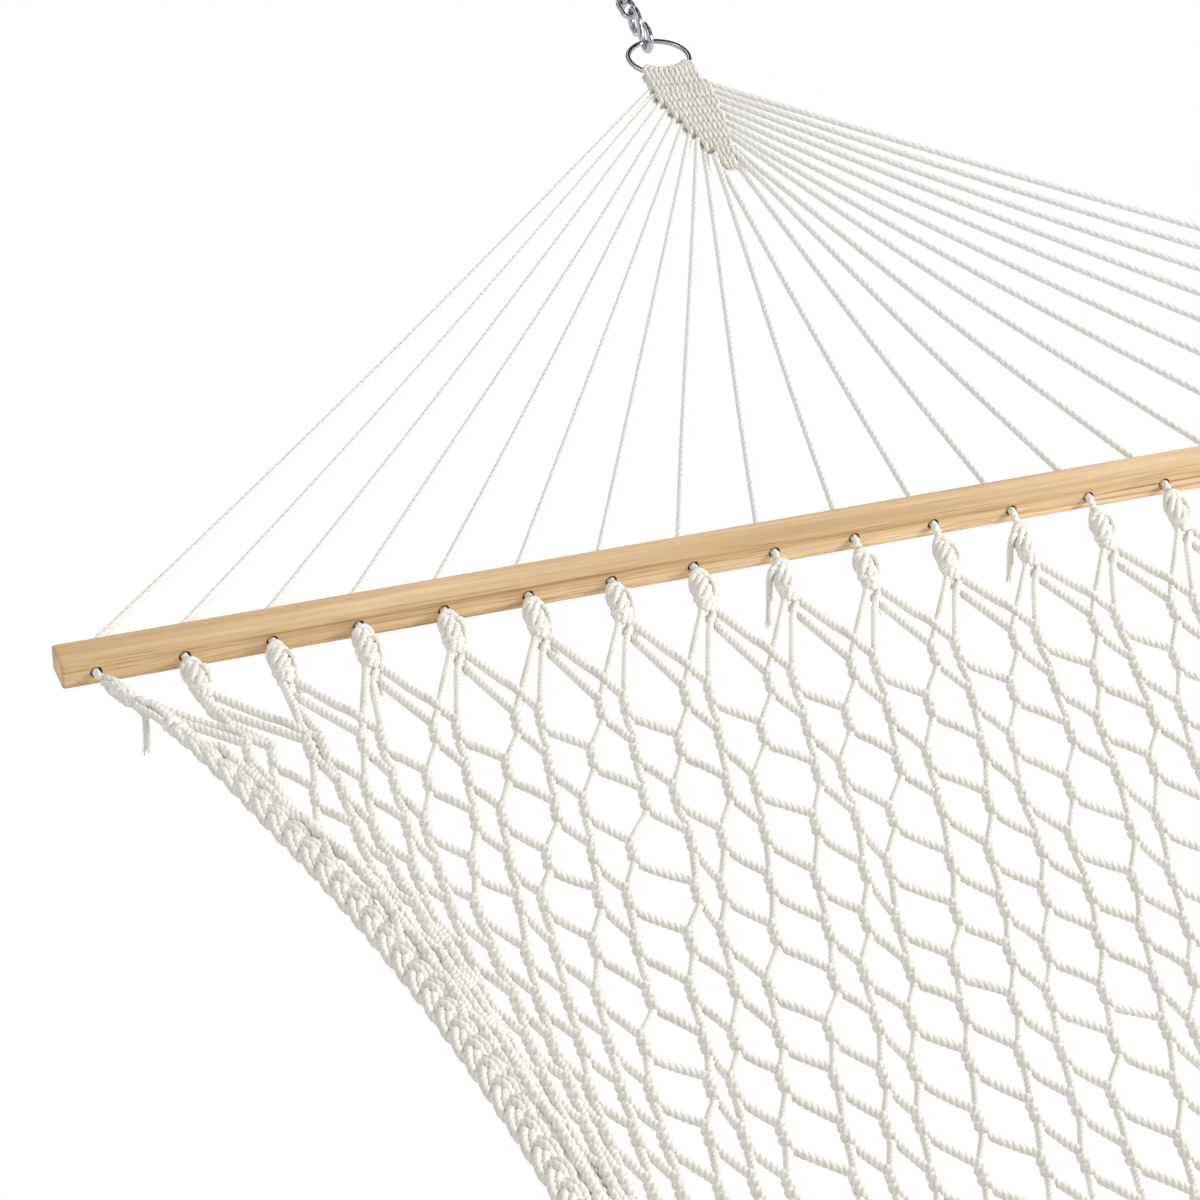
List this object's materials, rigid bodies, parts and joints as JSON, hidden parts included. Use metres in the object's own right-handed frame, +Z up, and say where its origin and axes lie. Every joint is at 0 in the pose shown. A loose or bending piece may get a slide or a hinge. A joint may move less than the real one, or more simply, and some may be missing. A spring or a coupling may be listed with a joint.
{
  "type": "rope hammock",
  "caption": "Netted cotton rope hammock with oak spreader bars, woven clews, steel rings, S-hooks and hanging chains.",
  "frame": {"origin": "plan centre of the hanging bed, at the height of its lowest point", "axes": "+X along the spreader bars, +Y towards the head end's ring and chain, +Z up"},
  "size_m": [1.524, 3.9114, 0.3352],
  "materials": {
    "rope": "matte",
    "edge_rope": "matte",
    "cord": "matte",
    "strap": "matte",
    "oak": "satin",
    "chrome": "polished",
    "zinc": "satin"
  },
  "bodies": {
    "bed_middle": {"bed_net_middle": "rope", "left_edge_rope_middle": "edge_rope", "right_edge_rope_middle": "edge_rope"},
    "bed_head": {"bed_net_head": "rope", "left_edge_rope_head": "edge_rope", "right_edge_rope_head": "edge_rope", "head_net_knots": "cord", "head_cord_tails": "cord", "head_net_loops": "rope"},
    "head_bar": {"head_spreader_bar": "oak", "head_bore_cords": "cord"},
    "head_clew": {"head_clew_cords": "cord", "head_woven_strap": "strap"},
    "head_ring": {"head_ring": "chrome", "head_ring_loops": "strap"},
    "head_hook": {"head_s_hook": "zinc"},
    "head_link_1": {"head_chain_link_1": "zinc"},
    "head_link_2": {"head_chain_link_2": "zinc"},
    "head_link_3": {"head_chain_link_3": "zinc"},
    "head_link_4": {"head_chain_link_4": "zinc"},
    "head_link_5": {"head_chain_link_5": "zinc"},
    "bed_foot": {"bed_net_foot": "rope", "left_edge_rope_foot": "edge_rope", "right_edge_rope_foot": "edge_rope", "foot_net_knots": "cord", "foot_cord_tails": "cord", "foot_net_loops": "rope"},
    "foot_bar": {"foot_spreader_bar": "oak", "foot_bore_cords": "cord"},
    "foot_clew": {"foot_clew_cords": "cord", "foot_woven_strap": "strap"},
    "foot_ring": {"foot_ring": "chrome", "foot_ring_loops": "strap"},
    "foot_hook": {"foot_s_hook": "zinc"},
    "foot_link_1": {"foot_chain_link_1": "zinc"},
    "foot_link_2": {"foot_chain_link_2": "zinc"},
    "foot_link_3": {"foot_chain_link_3": "zinc"},
    "foot_link_4": {"foot_chain_link_4": "zinc"},
    "foot_link_5": {"foot_chain_link_5": "zinc"}
  },
  "joints": [
    {"name": "head_bed_fold", "type": "hinge", "parent": "bed_middle", "child": "bed_head", "pos_m": [0, 0.2, 0.10572], "axis": [1, 0, 0], "range_deg": [0, 75]},
    {"name": "head_bar_roll", "type": "hinge", "parent": "bed_head", "child": "head_bar", "pos_m": [0, 1.0119, 0.173], "axis": [1, 0, 0], "range_deg": [-30, 30], "stiffness_Nm_per_rad": 90},
    {"name": "head_clew_swing", "type": "hinge", "parent": "head_bar", "child": "head_clew", "pos_m": [0, 1.0531, 0.173], "axis": [-1, 0, 0], "range_deg": [-75, 75], "stiffness_Nm_per_rad": 70},
    {"name": "head_ring_swing", "type": "hinge", "parent": "head_clew", "child": "head_ring", "pos_m": [0, 1.72054, 0.2856], "axis": [1, 0, 0], "range_deg": [-50, 50], "stiffness_Nm_per_rad": 12},
    {"name": "head_hook_swing", "type": "hinge", "parent": "head_ring", "child": "head_hook", "pos_m": [0, 1.78759, 0.29691], "axis": [-1, 0, 0], "range_deg": [-35, 35], "stiffness_Nm_per_rad": 8},
    {"name": "head_chain_link_1_swing", "type": "hinge", "parent": "head_hook", "child": "head_link_1", "pos_m": [0, 1.83112, 0.30616], "axis": [1, 0, 0], "range_deg": [-25, 25], "stiffness_Nm_per_rad": 5},
    {"name": "head_chain_link_2_swing", "type": "hinge", "parent": "head_link_1", "child": "head_link_2", "pos_m": [0, 1.85948, 0.31219], "axis": [1, 0, 0], "range_deg": [-25, 25], "stiffness_Nm_per_rad": 3},
    {"name": "head_chain_link_3_swing", "type": "hinge", "parent": "head_link_2", "child": "head_link_3", "pos_m": [0, 1.87797, 0.31612], "axis": [1, 0, 0], "range_deg": [-25, 25], "stiffness_Nm_per_rad": 3},
    {"name": "head_chain_link_4_swing", "type": "hinge", "parent": "head_link_3", "child": "head_link_4", "pos_m": [0, 1.90634, 0.32215], "axis": [1, 0, 0], "range_deg": [-25, 25], "stiffness_Nm_per_rad": 3},
    {"name": "head_chain_link_5_swing", "type": "hinge", "parent": "head_link_4", "child": "head_link_5", "pos_m": [0, 1.92482, 0.32608], "axis": [1, 0, 0], "range_deg": [-25, 25], "stiffness_Nm_per_rad": 3},
    {"name": "foot_bed_fold", "type": "hinge", "parent": "bed_middle", "child": "bed_foot", "pos_m": [0, -0.2, 0.10572], "axis": [-1, 0, 0], "range_deg": [0, 75]},
    {"name": "foot_bar_roll", "type": "hinge", "parent": "bed_foot", "child": "foot_bar", "pos_m": [0, -1.0119, 0.173], "axis": [-1, 0, 0], "range_deg": [-30, 30], "stiffness_Nm_per_rad": 90},
    {"name": "foot_clew_swing", "type": "hinge", "parent": "foot_bar", "child": "foot_clew", "pos_m": [0, -1.0531, 0.173], "axis": [1, 0, 0], "range_deg": [-75, 75], "stiffness_Nm_per_rad": 70},
    {"name": "foot_ring_swing", "type": "hinge", "parent": "foot_clew", "child": "foot_ring", "pos_m": [0, -1.72054, 0.2856], "axis": [-1, 0, 0], "range_deg": [-50, 50], "stiffness_Nm_per_rad": 12},
    {"name": "foot_hook_swing", "type": "hinge", "parent": "foot_ring", "child": "foot_hook", "pos_m": [0, -1.78759, 0.29691], "axis": [1, 0, 0], "range_deg": [-35, 35], "stiffness_Nm_per_rad": 8},
    {"name": "foot_chain_link_1_swing", "type": "hinge", "parent": "foot_hook", "child": "foot_link_1", "pos_m": [0, -1.83112, 0.30616], "axis": [-1, 0, 0], "range_deg": [-25, 25], "stiffness_Nm_per_rad": 5},
    {"name": "foot_chain_link_2_swing", "type": "hinge", "parent": "foot_link_1", "child": "foot_link_2", "pos_m": [0, -1.85948, 0.31219], "axis": [-1, 0, 0], "range_deg": [-25, 25], "stiffness_Nm_per_rad": 3},
    {"name": "foot_chain_link_3_swing", "type": "hinge", "parent": "foot_link_2", "child": "foot_link_3", "pos_m": [0, -1.87797, 0.31612], "axis": [-1, 0, 0], "range_deg": [-25, 25], "stiffness_Nm_per_rad": 3},
    {"name": "foot_chain_link_4_swing", "type": "hinge", "parent": "foot_link_3", "child": "foot_link_4", "pos_m": [0, -1.90634, 0.32215], "axis": [-1, 0, 0], "range_deg": [-25, 25], "stiffness_Nm_per_rad": 3},
    {"name": "foot_chain_link_5_swing", "type": "hinge", "parent": "foot_link_4", "child": "foot_link_5", "pos_m": [0, -1.92482, 0.32608], "axis": [-1, 0, 0], "range_deg": [-25, 25], "stiffness_Nm_per_rad": 3}
  ],
  "couplings": [
    {"joint": "head_chain_link_2_swing", "follows": "head_chain_link_1_swing", "ratio": 1},
    {"joint": "head_chain_link_3_swing", "follows": "head_chain_link_1_swing", "ratio": 1},
    {"joint": "head_chain_link_4_swing", "follows": "head_chain_link_1_swing", "ratio": 1},
    {"joint": "head_chain_link_5_swing", "follows": "head_chain_link_1_swing", "ratio": 1},
    {"joint": "foot_chain_link_2_swing", "follows": "foot_chain_link_1_swing", "ratio": 1},
    {"joint": "foot_chain_link_3_swing", "follows": "foot_chain_link_1_swing", "ratio": 1},
    {"joint": "foot_chain_link_4_swing", "follows": "foot_chain_link_1_swing", "ratio": 1},
    {"joint": "foot_chain_link_5_swing", "follows": "foot_chain_link_1_swing", "ratio": 1},
    {"joint": "foot_bed_fold", "follows": "head_bed_fold", "ratio": 1}
  ]
}
